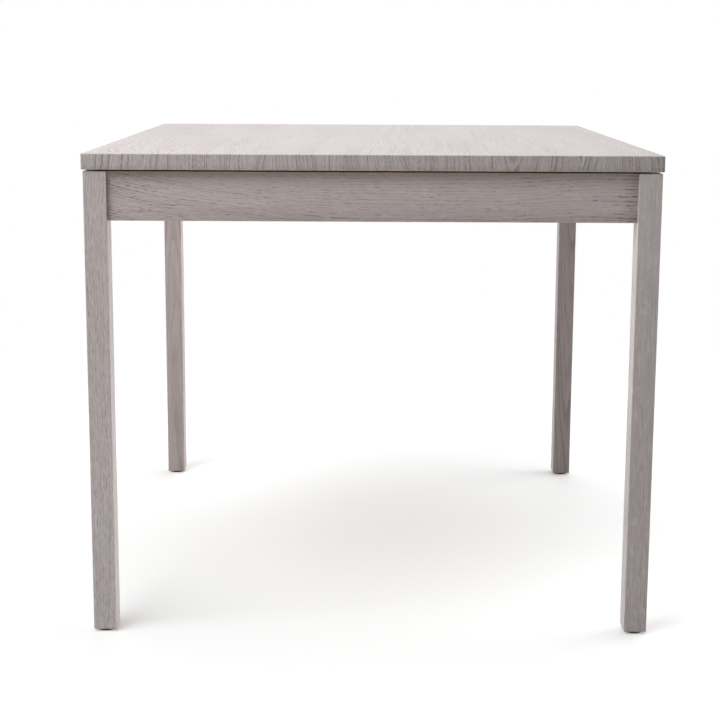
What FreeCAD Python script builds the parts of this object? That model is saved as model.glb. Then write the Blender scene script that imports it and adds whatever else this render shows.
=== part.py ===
"""Square parsons dining table in solid wood, millimetres, +Z up.

A flat edge-glued top lies on a frame of four square legs and four aprons.
Each leg stands under a corner of the top, flush with its edge but for a small
overhang, and the aprons are set back between the legs.  Fixing strips and
corner blocks stand a little proud of the frame, so that the top floats on a
thin shadow gap.  The origin is on the floor, under the middle of the top.
"""

import FreeCAD, Part
import os
import Sketcher

# ---------------------------------------------------------------- driving sizes
# name, value in millimetres (or a count), what it measures
SIZES = (
    ("table_width", 870, "top, left to right"),
    ("table_depth", 870, "top, front to back"),
    ("table_height", 750, "floor to the upper face of the top"),
    ("top_thickness", 24, "thickness of the top"),
    ("top_overhang", 2, "top beyond the outer faces of the legs"),
    ("stave_count", 7, "staves glued side by side into the top"),
    ("edge_easing", 1.2, "radius of the eased edges"),
    ("shadow_gap", 2.5, "gap between the top and the frame"),
    ("leg_section", 35, "side of the square leg"),
    ("corner_flat", 6, "cut along each inner face of a leg, for the bolt"),
    ("apron_height", 75, "height of an apron"),
    ("apron_thickness", 20, "thickness of an apron"),
    ("apron_recess", 8, "apron behind the outer face of the leg"),
    ("dowel_diameter", 8, "locating dowel between apron and leg"),
    ("dowel_in_leg", 12, "length of dowel inside the leg"),
    ("dowel_in_apron", 18, "length of dowel inside the apron"),
    ("dowel_inset", 11, "dowel's axis from the apron's lower and upper edge"),
    ("dowel_bevel", 1, "bevel at each end of a dowel"),
    ("block_thickness", 22, "corner block, along its bolt"),
    ("block_standoff", 14, "air between the leg's flat and the corner block"),
    ("block_rise", 10, "block's lower face above the apron's lower edge"),
    ("block_blunting", 5, "blunt face at each pointed end of the block"),
    ("bolt_diameter", 8, "hanger bolt"),
    ("bolt_length", 80, "hanger bolt, tip to end"),
    ("bolt_in_leg", 30, "length of hanger bolt inside the leg"),
    ("bolt_point", 6, "length of the bolt's tapered tip"),
    ("point_diameter", 1, "blunt end of a screw's or bolt's tip"),
    ("bolt_clearance", 1, "block's bolt hole over the bolt's diameter"),
    ("washer_diameter", 16, "washer under the nut"),
    ("washer_thickness", 1.6, "washer under the nut"),
    ("washer_clearance", 0.4, "washer's hole over its bolt or screw"),
    ("nut_across_flats", 13, "hexagon nut"),
    ("nut_thickness", 6.5, "hexagon nut"),
    ("screw_diameter", 4.5, "shank of a wood screw"),
    ("screw_head_diameter", 9, "pan head of a wood screw"),
    ("screw_head_height", 3, "pan head of a wood screw"),
    ("screw_point", 4, "length of a wood screw's tapered tip"),
    ("block_screw_grip", 10, "block left under the head of its screw"),
    ("block_screw_bite", 14, "block screw inside the apron"),
    ("block_screw_inset", 14, "block screw from the block's lower and upper face"),
    ("block_screw_setback", 12, "block screw from the block's blunt end"),
    ("counterbore_clearance", 1, "counterbore over the screw head's diameter"),
    ("strip_width", 22, "fixing strip, away from the apron"),
    ("strip_height", 20, "fixing strip, top to bottom"),
    ("strip_end_gap", 3, "air between a fixing strip and a corner block"),
    ("strip_screw_count", 4, "screws that hold a strip to its apron"),
    ("strip_screw_bite", 12, "strip screw inside the apron"),
    ("strip_screw_inset", 25, "first strip screw from the strip's end"),
    ("top_screw_count", 3, "screws that hold the top to a strip"),
    ("top_screw_bite", 15, "top screw inside the top"),
    ("top_screw_inset", 60, "first top screw from the strip's end"),
    ("slot_length", 12, "slot in the strip, across the grain of the top"),
    ("slot_clearance", 1, "slot's width over the screw's diameter"),
    ("screw_washer_diameter", 16, "washer under the head of a top screw"),
    ("screw_washer_thickness", 1.5, "washer under the head of a top screw"),
    ("glide_diameter", 30, "foot glide"),
    ("glide_height", 4, "foot glide, floor to leg"),
    ("glide_rounding", 1.5, "rounding of the glide's rim at the floor"),
    ("glide_head_height", 1.5, "flat head of the glide screw"),
    ("glide_head_lift", 0.5, "glide screw's head above the floor"),
    ("glide_recess_clearance", 2, "glide's recess over the screw head's diameter"),
    ("glide_screw_bite", 16, "glide screw inside the leg"),
)

doc = FreeCAD.newDocument("parsons_dining_table")
sheet = doc.addObject("Spreadsheet::Sheet", "sizes")
for row, (alias, value, meaning) in enumerate(SIZES, start=1):
    sheet.set(f"A{row}", str(value))
    sheet.setAlias(f"A{row}", alias)
    sheet.set(f"B{row}", meaning)
doc.recompute()


def value_of(expression):
    """The number that an expression on the sheet gives now."""
    return float(sheet.evalExpression(expression))


def count_of(alias):
    """A count on the sheet, as a whole number."""
    return round(value_of(f"sizes.{alias}"))


# ------------------------------------------------- places that the sizes lead to
# Heights above the floor.
UNDER_TOP = "(sizes.table_height - sizes.top_thickness)"
LEG_TOP = f"({UNDER_TOP} - sizes.shadow_gap)"
LEG_LENGTH = f"({LEG_TOP} - sizes.glide_height)"
APRON_BOTTOM = f"({LEG_TOP} - sizes.apron_height)"
BOLT_HEIGHT = f"({APRON_BOTTOM} + sizes.apron_height / 2)"
BLOCK_BOTTOM = f"({APRON_BOTTOM} + sizes.block_rise)"
BLOCK_HEIGHT = f"({UNDER_TOP} - {BLOCK_BOTTOM})"
STRIP_BOTTOM = f"({UNDER_TOP} - sizes.strip_height)"
DOWEL_LENGTH = "(sizes.dowel_in_leg + sizes.dowel_in_apron)"
DOWEL_TIP = "(sizes.dowel_diameter - 2 * sizes.dowel_bevel)"
DOWEL_HEIGHTS = ("sizes.dowel_inset", "(sizes.apron_height - sizes.dowel_inset)")
BLOCK_SCREW_HEIGHTS = ("sizes.block_screw_inset", f"({BLOCK_HEIGHT} - sizes.block_screw_inset)")

# Outer faces of the frame, from the middle of the table.
FRAME_X = "(sizes.table_width / 2 - sizes.top_overhang)"
FRAME_Y = "(sizes.table_depth / 2 - sizes.top_overhang)"

# Distances from the outer face of the frame, inwards.
APRON_MIDDLE = "(sizes.apron_recess + sizes.apron_thickness / 2)"
APRON_INSIDE = "(sizes.apron_recess + sizes.apron_thickness)"
STRIP_MIDDLE = f"({APRON_INSIDE} + sizes.strip_width / 2)"
STRIP_INSIDE = f"({APRON_INSIDE} + sizes.strip_width)"

# A diagonal face at a corner is the line x + y = constant, from the leg's outer corner.
LEG_FLAT = "(2 * sizes.leg_section - sizes.corner_flat)"
BLOCK_FRONT = f"({LEG_FLAT} + sqrt(2) * sizes.block_standoff)"
BLOCK_BACK = f"({BLOCK_FRONT} + sqrt(2) * sizes.block_thickness)"
BLOCK_REACH = f"({BLOCK_BACK} - {APRON_INSIDE} - sizes.block_blunting)"
BOLT_TIP = f"({LEG_FLAT} - sqrt(2) * sizes.bolt_in_leg)"
NUT_FACE = f"({BLOCK_BACK} + sqrt(2) * sizes.washer_thickness)"
BLOCK_SCREW_ALONG = f"({BLOCK_REACH} - sizes.block_screw_setback)"
BLOCK_SCREW_SEAT = f"({APRON_INSIDE} + sizes.block_screw_grip)"

LEG_MIDDLE = "(sizes.leg_section / 2)"
# Height of the seat inside a glide, under the head of its screw.
GLIDE_SEAT = "(sizes.glide_head_lift + sizes.glide_head_height)"

UP = FreeCAD.Vector(0, 0, 1)
ACROSS = FreeCAD.Vector(0, 1, 0)
ALONG = FreeCAD.Vector(1, 0, 0)
DIAGONAL = FreeCAD.Vector(1, 1, 0)
EPSILON = 1e-6


class PlanFrame:
    """A pair of axes in plan: an origin, and a number of quarter turns about Z."""

    TURNS = ((1, 0), (0, 1), (-1, 0), (0, -1))

    def __init__(self, name, quarter_turns, x, y):
        self.name = name
        self.quarter_turns = quarter_turns
        self.x = x
        self.y = y

    def point(self, x, y):
        """Expressions for the place on the table of a point in this frame."""
        cosine, sine = self.TURNS[self.quarter_turns]
        table_x = f"{self.x} + {cosine} * ({x}) - {sine} * ({y})"
        table_y = f"{self.y} + {sine} * ({x}) + {cosine} * ({y})"
        return table_x, table_y

    def put(self, piece, x="0", y="0", z="0", pointing=UP):
        """Place a piece at a point of this frame, with its own Z along a direction."""
        turn = FreeCAD.Rotation(UP, 90 * self.quarter_turns)
        tilt = FreeCAD.Rotation(UP, pointing)
        piece.Placement = FreeCAD.Placement(FreeCAD.Vector(), turn.multiply(tilt))
        table_x, table_y = self.point(x, y)
        piece.setExpression("Placement.Base.x", table_x)
        piece.setExpression("Placement.Base.y", table_y)
        piece.setExpression("Placement.Base.z", z)


# Corners: x and y run inwards from a leg's outer corner, along the two aprons.
CORNERS = (
    PlanFrame("front_left", 0, f"-{FRAME_X}", f"-{FRAME_Y}"),
    PlanFrame("front_right", 1, FRAME_X, f"-{FRAME_Y}"),
    PlanFrame("rear_right", 2, FRAME_X, FRAME_Y),
    PlanFrame("rear_left", 3, f"-{FRAME_X}", FRAME_Y),
)
# Sides: x runs along the apron from its middle, y inwards from the legs' outer faces.
SIDES = (
    PlanFrame("front", 0, "0", f"-{FRAME_Y}"),
    PlanFrame("right", 1, FRAME_X, "0"),
    PlanFrame("rear", 2, "0", FRAME_Y),
    PlanFrame("left", 3, f"-{FRAME_X}", "0"),
)


def runs_across(side):
    """True for the front and rear sides, which run along the table's X axis."""
    return side.quarter_turns % 2 == 0


def half_frame(side):
    """Half the length of a side, over the outer faces of its legs."""
    return FRAME_X if runs_across(side) else FRAME_Y


def half_apron(side):
    """Half the length of a side's apron, between its legs."""
    return f"({half_frame(side)} - sizes.leg_section)"


def half_strip(side):
    """Half the length of a side's fixing strip, between its corner blocks."""
    return f"({half_frame(side)} - {BLOCK_REACH} - sizes.strip_end_gap)"


def spread(count, half_length, inset):
    """Places along a strip from its middle, the outer ones an inset from its ends."""
    shares = [2 * step / (count - 1) - 1 for step in range(count)] if count > 1 else [0]
    return [f"{share} * ({half_length} - {inset})" for share in shares]


def top_screw_places(side):
    count = count_of("top_screw_count")
    return spread(count, half_strip(side), "sizes.top_screw_inset")


def strip_screw_places(side):
    count = count_of("strip_screw_count")
    return spread(count, half_strip(side), "sizes.strip_screw_inset")


# ------------------------------------------------------------- sketches and bodies
def new_body(name):
    body = doc.addObject("PartDesign::Body", name)
    body.Label = name
    return body


def new_sketch(body, plane_role, shift=None, turned=0):
    """A sketch on one of the body's origin planes, moved and turned in its own axes."""
    sketch = body.newObject("Sketcher::SketchObject", f"{body.Name}_sketch")
    plane = next(item for item in body.Origin.OriginFeatures if item.Role == plane_role)
    sketch.AttachmentSupport = [(plane, "")]
    sketch.MapMode = "FlatFace"
    turn = FreeCAD.Rotation(ACROSS, turned)
    sketch.AttachmentOffset = FreeCAD.Placement(FreeCAD.Vector(), turn)
    for axis, distance in (shift or {}).items():
        sketch.setExpression(f"AttachmentOffset.Base.{axis}", distance)
    return sketch


def new_diagonal_sketch(body, diagonal):
    """An upright sketch facing inwards on the corner's diagonal face x + y = diagonal."""
    half = f"{diagonal} / 2"
    return new_sketch(body, "XZ_Plane", {"x": half, "z": f"-{half}"}, turned=135)


def tie_point(sketch, geometry, point, x, y):
    """Hold one point of a sketch at coordinates given as expressions."""
    for kind, expression in (("DistanceX", x), ("DistanceY", y)):
        rule = Sketcher.Constraint(kind, -1, 1, geometry, point, value_of(expression))
        index = sketch.addConstraint(rule)
        sketch.setExpression(f"Constraints[{index}]", expression)


def draw_polygon(sketch, corners):
    """A closed outline through corners given as pairs of expressions."""
    places = [FreeCAD.Vector(value_of(x), value_of(y), 0) for x, y in corners]
    first = sketch.GeometryCount
    for start, end in zip(places, places[1:] + places[:1]):
        sketch.addGeometry(Part.LineSegment(start, end))
    for index, (x, y) in enumerate(corners):
        line = first + index
        previous = first + (index - 1) % len(corners)
        sketch.addConstraint(Sketcher.Constraint("Coincident", previous, 2, line, 1))
        tie_point(sketch, line, 1, x, y)


def draw_rectangle(sketch, low_x, low_y, high_x, high_y):
    draw_polygon(sketch, ((low_x, low_y), (high_x, low_y), (high_x, high_y), (low_x, high_y)))


def draw_circle(sketch, x, y, diameter):
    centre = FreeCAD.Vector(value_of(x), value_of(y), 0)
    radius = value_of(diameter) / 2
    circle = sketch.addGeometry(Part.Circle(centre, UP, radius))
    tie_point(sketch, circle, 3, x, y)
    index = sketch.addConstraint(Sketcher.Constraint("Diameter", circle, 2 * radius))
    sketch.setExpression(f"Constraints[{index}]", diameter)


def draw_slot(sketch, x, y, along_x):
    """A round-ended slot about a point, along the sketch's x axis or its y axis."""
    half_width = "((sizes.screw_diameter + sizes.slot_clearance) / 2)"
    reach = f"(sizes.slot_length / 2 - {half_width})"

    def place(run, side):
        """Expressions for the point at run along the slot and side across it."""
        if along_x:
            return f"{x} + {run}", f"{y} + {side}"
        return f"{x} - {side}", f"{y} + {run}"

    def vector(run, side):
        return FreeCAD.Vector(*[value_of(expression) for expression in place(run, side)], 0)

    lines = []
    arcs = []
    for sign in ("1", "-1"):
        inner = (f"({sign} * {reach})", f"(-{sign} * {half_width})")
        outer = (f"({sign} * ({reach} + {half_width}))", "0")
        across = (f"({sign} * {reach})", f"({sign} * {half_width})")
        opposite = (f"(-{sign} * {reach})", f"({sign} * {half_width})")
        arcs.append(sketch.addGeometry(Part.Arc(vector(*inner), vector(*outer), vector(*across))))
        lines.append(sketch.addGeometry(Part.LineSegment(vector(*across), vector(*opposite))))
        tie_point(sketch, lines[-1], 1, *place(*across))
        tie_point(sketch, lines[-1], 2, *place(*opposite))
    for arc, after, before in ((arcs[0], lines[0], lines[1]), (arcs[1], lines[1], lines[0])):
        sketch.addConstraint(Sketcher.Constraint("Tangent", before, 2, arc, 1))
        sketch.addConstraint(Sketcher.Constraint("Coincident", arc, 2, after, 1))


def pad(body, sketch, length, both_ways=False):
    feature = body.newObject("PartDesign::Pad", f"{body.Name}_pad")
    feature.Profile = sketch
    feature.SideType = "Symmetric" if both_ways else "One side"
    feature.setExpression("Length", length)
    doc.recompute()
    return feature


def cut(body, sketch, depth=None, along_normal=False):
    """Cut a sketch into the body, against its normal unless told otherwise."""
    before = body.Shape.Volume
    feature = body.newObject("PartDesign::Pocket", f"{body.Name}_cut")
    feature.Profile = sketch
    feature.Reversed = along_normal
    if depth is None:
        feature.Type = "ThroughAll"
    else:
        feature.setExpression("Length", depth)
    doc.recompute()
    if body.Shape.Volume >= before:
        raise RuntimeError(f"{feature.Name} removes nothing")
    return feature


def ease_edges(body, feature, wanted=None, radius="sizes.edge_easing"):
    """Round the feature's edges: all of them, or those that a test picks."""
    names = [
        f"Edge{number}"
        for number, edge in enumerate(feature.Shape.Edges, start=1)
        if wanted is None or wanted(edge)
    ]
    fillet = body.newObject("PartDesign::Fillet", f"{body.Name}_easing")
    fillet.Base = (feature, names)
    fillet.setExpression("Radius", radius)
    doc.recompute()


def lies_lengthwise(edge):
    """True for an edge that runs along the piece's own X axis."""
    return abs(edge.tangentAt(edge.FirstParameter).dot(ALONG)) > 1 - EPSILON


def lies_at_bottom(edge):
    return edge.BoundBox.ZMax < EPSILON


# ---------------------------------------------------------------------------- top
def make_top_staves():
    """Edge-glued staves, cut from one eased panel with the screws' pilot holes."""
    panel = new_body("top_panel")
    outline = new_sketch(panel, "XY_Plane")
    half_width = "sizes.table_width / 2"
    half_depth = "sizes.table_depth / 2"
    draw_rectangle(outline, f"-{half_width}", f"-{half_depth}", half_width, half_depth)
    ease_edges(panel, pad(panel, outline, "sizes.top_thickness"))
    holes = new_sketch(panel, "XY_Plane")
    for side in SIDES:
        for place in top_screw_places(side):
            draw_circle(holes, *side.point(place, STRIP_MIDDLE), "sizes.screw_diameter")
    cut(panel, holes, "sizes.top_screw_bite", along_normal=True)
    panel.setExpression("Placement.Base.z", UNDER_TOP)

    staves = []
    count = count_of("stave_count")
    for index in range(count):
        blank = doc.addObject("Part::Box", f"stave_blank_{index + 1}")
        blank.setExpression("Length", "sizes.table_width / sizes.stave_count")
        blank.setExpression("Width", "sizes.table_depth")
        blank.setExpression("Height", "sizes.top_thickness")
        share = f"({index} / sizes.stave_count - 1 / 2)"
        blank.setExpression("Placement.Base.x", f"{share} * sizes.table_width")
        blank.setExpression("Placement.Base.y", "-sizes.table_depth / 2")
        blank.setExpression("Placement.Base.z", UNDER_TOP)
        stave = doc.addObject("Part::Common", f"top_stave_{index + 1}")
        stave.Base = panel
        stave.Tool = blank
        staves.append(stave)
    return staves


# --------------------------------------------------------------------------- frame
def make_leg(corner):
    """Square leg: a flat on its inner corner, dowel holes and the bolt's hole."""
    leg = new_body(f"leg_{corner.name}")
    side = "sizes.leg_section"
    outline = new_sketch(leg, "XY_Plane")
    draw_rectangle(outline, "0", "0", side, side)
    ease_edges(leg, pad(leg, outline, LEG_LENGTH))

    near = f"({side} - sizes.corner_flat)"
    beyond = f"({side} + sizes.corner_flat)"
    apron_bottom = f"({LEG_LENGTH} - sizes.apron_height)"
    flat = new_sketch(leg, "XY_Plane", {"z": apron_bottom})
    draw_polygon(flat, ((near, side), (side, near), (beyond, side), (side, beyond)))
    cut(leg, flat, along_normal=True)

    # The apron along x meets the YZ face, and the apron along y the XZ face.
    sockets_x = new_sketch(leg, "YZ_Plane", {"z": side})
    sockets_y = new_sketch(leg, "XZ_Plane", {"z": f"-{side}"})
    for height in DOWEL_HEIGHTS:
        socket_height = f"({apron_bottom} + {height})"
        for sockets in (sockets_x, sockets_y):
            draw_circle(sockets, APRON_MIDDLE, socket_height, "sizes.dowel_diameter")
    cut(leg, sockets_x, "sizes.dowel_in_leg")
    cut(leg, sockets_y, "sizes.dowel_in_leg", along_normal=True)

    bolt_hole = new_diagonal_sketch(leg, LEG_FLAT)
    bolt_height = f"{BOLT_HEIGHT} - sizes.glide_height"
    draw_circle(bolt_hole, "0", bolt_height, "sizes.bolt_diameter")
    cut(leg, bolt_hole, "sizes.bolt_in_leg")

    glide_hole = new_sketch(leg, "XY_Plane")
    draw_circle(glide_hole, f"{side} / 2", f"{side} / 2", "sizes.screw_diameter")
    cut(leg, glide_hole, "sizes.glide_screw_bite", along_normal=True)
    corner.put(leg, z="sizes.glide_height")
    return leg


def make_apron(side):
    """Apron: eased long edges, dowel holes in its ends and pilot holes inside."""
    apron = new_body(f"apron_{side.name}")
    section = new_sketch(apron, "YZ_Plane")
    draw_rectangle(section, "0", "0", "sizes.apron_thickness", "sizes.apron_height")
    blank = pad(apron, section, f"2 * {half_apron(side)}", both_ways=True)
    ease_edges(apron, blank, lies_lengthwise)

    for sign in ("-", ""):
        sockets = new_sketch(apron, "YZ_Plane", {"z": f"{sign}{half_apron(side)}"})
        for height in DOWEL_HEIGHTS:
            draw_circle(sockets, "sizes.apron_thickness / 2", height, "sizes.dowel_diameter")
        cut(apron, sockets, "sizes.dowel_in_apron", along_normal=sign == "-")

    inner_face = {"z": "-sizes.apron_thickness"}
    block_pilots = new_sketch(apron, "XZ_Plane", inner_face)
    for sign in ("-", ""):
        along = f"{sign}({half_frame(side)} - {BLOCK_SCREW_ALONG})"
        for height in BLOCK_SCREW_HEIGHTS:
            draw_circle(block_pilots, along, f"sizes.block_rise + {height}", "sizes.screw_diameter")
    cut(apron, block_pilots, "sizes.block_screw_bite", along_normal=True)

    strip_pilots = new_sketch(apron, "XZ_Plane", inner_face)
    pilot_height = f"{STRIP_BOTTOM} + sizes.strip_height / 2 - {APRON_BOTTOM}"
    for along in strip_screw_places(side):
        draw_circle(strip_pilots, along, pilot_height, "sizes.screw_diameter")
    cut(apron, strip_pilots, "sizes.strip_screw_bite", along_normal=True)
    side.put(apron, y="sizes.apron_recess", z=APRON_BOTTOM)
    return apron


def make_corner_block(corner):
    """Mitred block between two aprons, drilled for the hanger bolt and its screws."""
    block = new_body(f"corner_block_{corner.name}")
    outline = new_sketch(block, "XY_Plane")
    front = f"({BLOCK_FRONT} - {APRON_INSIDE})"
    blunt = f"({APRON_INSIDE} + sizes.block_blunting)"
    draw_polygon(outline, (
        (front, APRON_INSIDE), (BLOCK_REACH, APRON_INSIDE), (BLOCK_REACH, blunt),
        (blunt, BLOCK_REACH), (APRON_INSIDE, BLOCK_REACH), (APRON_INSIDE, front),
    ))
    pad(block, outline, BLOCK_HEIGHT)

    bolt_hole = new_diagonal_sketch(block, BLOCK_BACK)
    bolt_hole_diameter = "sizes.bolt_diameter + sizes.bolt_clearance"
    draw_circle(bolt_hole, "0", f"{BOLT_HEIGHT} - {BLOCK_BOTTOM}", bolt_hole_diameter)
    cut(block, bolt_hole)

    # One pair of screws goes into the apron along x, the other into the apron along y.
    head_room = "sizes.screw_head_diameter + sizes.counterbore_clearance"
    bores = (
        ("sizes.screw_diameter", APRON_INSIDE, "sizes.block_screw_grip"),
        (head_room, BLOCK_SCREW_SEAT, None),
    )
    for diameter, start, depth in bores:
        into_x = new_sketch(block, "XZ_Plane", {"z": f"-{start}"})
        into_y = new_sketch(block, "YZ_Plane", {"z": start})
        for height in BLOCK_SCREW_HEIGHTS:
            draw_circle(into_x, BLOCK_SCREW_ALONG, height, diameter)
            draw_circle(into_y, BLOCK_SCREW_ALONG, height, diameter)
        cut(block, into_x, depth)
        cut(block, into_y, depth, along_normal=True)
    corner.put(block, z=BLOCK_BOTTOM)
    return block


def make_fixing_strip(side):
    """Strip inside an apron: slots for the top's screws, holes for its own."""
    strip = new_body(f"fixing_strip_{side.name}")
    length = half_strip(side)
    outline = new_sketch(strip, "XY_Plane")
    draw_rectangle(outline, f"-{length}", "0", length, "sizes.strip_width")
    blank = pad(strip, outline, "sizes.strip_height")
    ease_edges(strip, blank, lambda edge: lies_lengthwise(edge) and lies_at_bottom(edge))

    # The slots let a wide wooden top swell and shrink across its grain.
    slots = new_sketch(strip, "XY_Plane")
    for along in top_screw_places(side):
        draw_slot(slots, along, "sizes.strip_width / 2", along_x=runs_across(side))
    cut(strip, slots, along_normal=True)

    holes = new_sketch(strip, "XZ_Plane")
    for along in strip_screw_places(side):
        draw_circle(holes, along, "sizes.strip_height / 2", "sizes.screw_diameter")
    cut(strip, holes)
    side.put(strip, y=APRON_INSIDE, z=STRIP_BOTTOM)
    return strip


def make_glide(corner):
    """Round plastic glide under a leg, rounded at the floor, recessed for its screw."""
    glide = new_body(f"foot_glide_{corner.name}")
    outline = new_sketch(glide, "XY_Plane")
    draw_circle(outline, "0", "0", "sizes.glide_diameter")
    disc = pad(glide, outline, "sizes.glide_height")
    ease_edges(glide, disc, lies_at_bottom, radius="sizes.glide_rounding")

    recess = new_sketch(glide, "XY_Plane")
    recess_diameter = "sizes.screw_head_diameter + sizes.glide_recess_clearance"
    draw_circle(recess, "0", "0", recess_diameter)
    cut(glide, recess, GLIDE_SEAT, along_normal=True)
    hole = new_sketch(glide, "XY_Plane")
    draw_circle(hole, "0", "0", "sizes.screw_diameter")
    cut(glide, hole, along_normal=True)
    corner.put(glide, LEG_MIDDLE, LEG_MIDDLE)
    return glide


# ----------------------------------------------------------------------- fasteners
def make_turned(name, start, sections):
    """A round piece built up along Z from a starting height, section by section.

    Each section is its length, the diameter where it begins and where it ends.
    """
    pieces = []
    height = start
    for number, (length, near, far) in enumerate(sections, start=1):
        section = doc.addObject("Part::Cone", f"{name}_section_{number}")
        section.setExpression("Height", length)
        section.setExpression("Radius1", f"({near}) / 2")
        section.setExpression("Radius2", f"({far}) / 2")
        section.setExpression("Placement.Base.z", height)
        pieces.append(section)
        height = f"({height} + {length})"
    turned = doc.addObject("Part::MultiFuse", name)
    turned.Shapes = pieces
    return turned


def make_screw(name, length, head_height="sizes.screw_head_height"):
    """Wood screw with its seat at the origin, its head below and its shank above."""
    head = "sizes.screw_head_diameter"
    shank = "sizes.screw_diameter"
    return make_turned(name, f"-{head_height}", (
        (head_height, head, head),
        (f"({length} - sizes.screw_point)", shank, shank),
        ("sizes.screw_point", shank, "sizes.point_diameter"),
    ))


def make_washer(name, diameter, thickness, bolt):
    disc = doc.addObject("Part::Cylinder", f"{name}_disc")
    disc.setExpression("Radius", f"{diameter} / 2")
    disc.setExpression("Height", thickness)
    return drill(name, disc, thickness, f"{bolt} + sizes.washer_clearance")


def make_nut(name):
    hexagon = doc.addObject("Part::Prism", f"{name}_hexagon")
    hexagon.Polygon = 6
    hexagon.setExpression("Circumradius", "sizes.nut_across_flats / sqrt(3)")
    hexagon.setExpression("Height", "sizes.nut_thickness")
    return drill(name, hexagon, "sizes.nut_thickness", "sizes.bolt_diameter")


def drill(name, blank, thickness, diameter):
    """A flat blank with a round hole through its middle."""
    hole = doc.addObject("Part::Cylinder", f"{name}_hole")
    hole.setExpression("Radius", f"({diameter}) / 2")
    hole.setExpression("Height", thickness)
    drilled = doc.addObject("Part::Cut", name)
    drilled.Base = blank
    drilled.Tool = hole
    return drilled


def make_group(name, pattern, places):
    """Copies of one fastener, as the separate solids of one piece of hardware.

    Each place is a plan frame, the point's x, y and z, and where the pattern points.
    """
    copies = []
    for number, (frame, *place) in enumerate(places, start=1):
        copy = doc.addObject("App::Link", f"{name}_{number}")
        copy.LinkedObject = pattern
        frame.put(copy, *place)
        copies.append(copy)
    group = doc.addObject("Part::Compound", name)
    group.Links = copies
    return group


def make_dowels():
    dowel = make_turned("dowel", "0", (
        ("sizes.dowel_bevel", DOWEL_TIP, "sizes.dowel_diameter"),
        (f"({DOWEL_LENGTH} - 2 * sizes.dowel_bevel)", "sizes.dowel_diameter", "sizes.dowel_diameter"),
        ("sizes.dowel_bevel", "sizes.dowel_diameter", DOWEL_TIP),
    ))
    start = "(sizes.leg_section - sizes.dowel_in_leg)"
    places = []
    for corner in CORNERS:
        for height in DOWEL_HEIGHTS:
            level = f"{APRON_BOTTOM} + {height}"
            places.append((corner, start, APRON_MIDDLE, level, ALONG))
            places.append((corner, APRON_MIDDLE, start, level, ACROSS))
    return make_group("apron_dowels", dowel, places)


def make_hanger_bolts():
    """Bolts out of the legs through the corner blocks, with their washers and nuts."""
    thread = "sizes.bolt_diameter"
    bolt = make_turned("hanger_bolt", "0", (
        ("sizes.bolt_point", "sizes.point_diameter", thread),
        ("(sizes.bolt_length - sizes.bolt_point)", thread, thread),
    ))
    washer = make_washer("bolt_washer", "sizes.washer_diameter", "sizes.washer_thickness", thread)
    nut = make_nut("bolt_nut")
    groups = []
    for name, pattern, face in (
        ("hanger_bolts", bolt, BOLT_TIP),
        ("bolt_washers", washer, BLOCK_BACK),
        ("bolt_nuts", nut, NUT_FACE),
    ):
        places = [(corner, f"{face} / 2", f"{face} / 2", BOLT_HEIGHT, DIAGONAL) for corner in CORNERS]
        groups.append(make_group(name, pattern, places))
    return groups


def make_block_screws():
    screw = make_screw("block_screw", "(sizes.block_screw_grip + sizes.block_screw_bite)")
    places = []
    for corner in CORNERS:
        for height in BLOCK_SCREW_HEIGHTS:
            level = f"{BLOCK_BOTTOM} + {height}"
            places.append((corner, BLOCK_SCREW_ALONG, BLOCK_SCREW_SEAT, level, -ACROSS))
            places.append((corner, BLOCK_SCREW_SEAT, BLOCK_SCREW_ALONG, level, -ALONG))
    return make_group("corner_block_screws", screw, places)


def make_strip_screws():
    screw = make_screw("strip_screw", "(sizes.strip_width + sizes.strip_screw_bite)")
    level = f"{STRIP_BOTTOM} + sizes.strip_height / 2"
    places = [
        (side, along, STRIP_INSIDE, level, -ACROSS)
        for side in SIDES
        for along in strip_screw_places(side)
    ]
    return make_group("fixing_strip_screws", screw, places)


def make_top_screws():
    """Screws up through the fixing strips into the top, with a washer on each."""
    thickness = "sizes.screw_washer_thickness"
    length = f"({thickness} + sizes.strip_height + sizes.top_screw_bite)"
    screw = make_screw("top_screw", length)
    washer = make_washer(
        "top_screw_washer", "sizes.screw_washer_diameter", thickness, "sizes.screw_diameter"
    )
    places = [
        (side, along, STRIP_MIDDLE, f"{STRIP_BOTTOM} - {thickness}", UP)
        for side in SIDES
        for along in top_screw_places(side)
    ]
    return [
        make_group("top_screws", screw, places),
        make_group("top_screw_washers", washer, places),
    ]


def make_glide_screws():
    length = f"(sizes.glide_height - {GLIDE_SEAT} + sizes.glide_screw_bite)"
    screw = make_screw("glide_screw", length, head_height="sizes.glide_head_height")
    places = [(corner, LEG_MIDDLE, LEG_MIDDLE, GLIDE_SEAT, UP) for corner in CORNERS]
    return make_group("glide_screws", screw, places)


# ------------------------------------------------------------------ build and write
sub_parts = make_top_staves()
for corner in CORNERS:
    sub_parts += [make_leg(corner), make_corner_block(corner), make_glide(corner)]
for side in SIDES:
    sub_parts += [make_apron(side), make_fixing_strip(side)]
sub_parts += [make_dowels(), *make_hanger_bolts(), make_block_screws(), make_strip_screws()]
sub_parts += [*make_top_screws(), make_glide_screws()]
doc.recompute()

for item in doc.Objects:
    if "Invalid" in item.State or "Error" in item.State:
        raise RuntimeError(f"{item.Name} failed: {item.State}")
for sub_part in sub_parts:
    if sub_part.Shape.isNull() or not sub_part.Shape.isValid():
        raise RuntimeError(f"{sub_part.Label} has no sound shape")

os.makedirs("parts", exist_ok=True)
for sub_part in sub_parts:
    sub_part.Shape.exportStep(f"parts/{sub_part.Label}.step")
    print(f"{sub_part.Label}: {len(sub_part.Shape.Solids)} solid(s), {sub_part.Shape.Volume:.0f} mm3")
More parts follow.
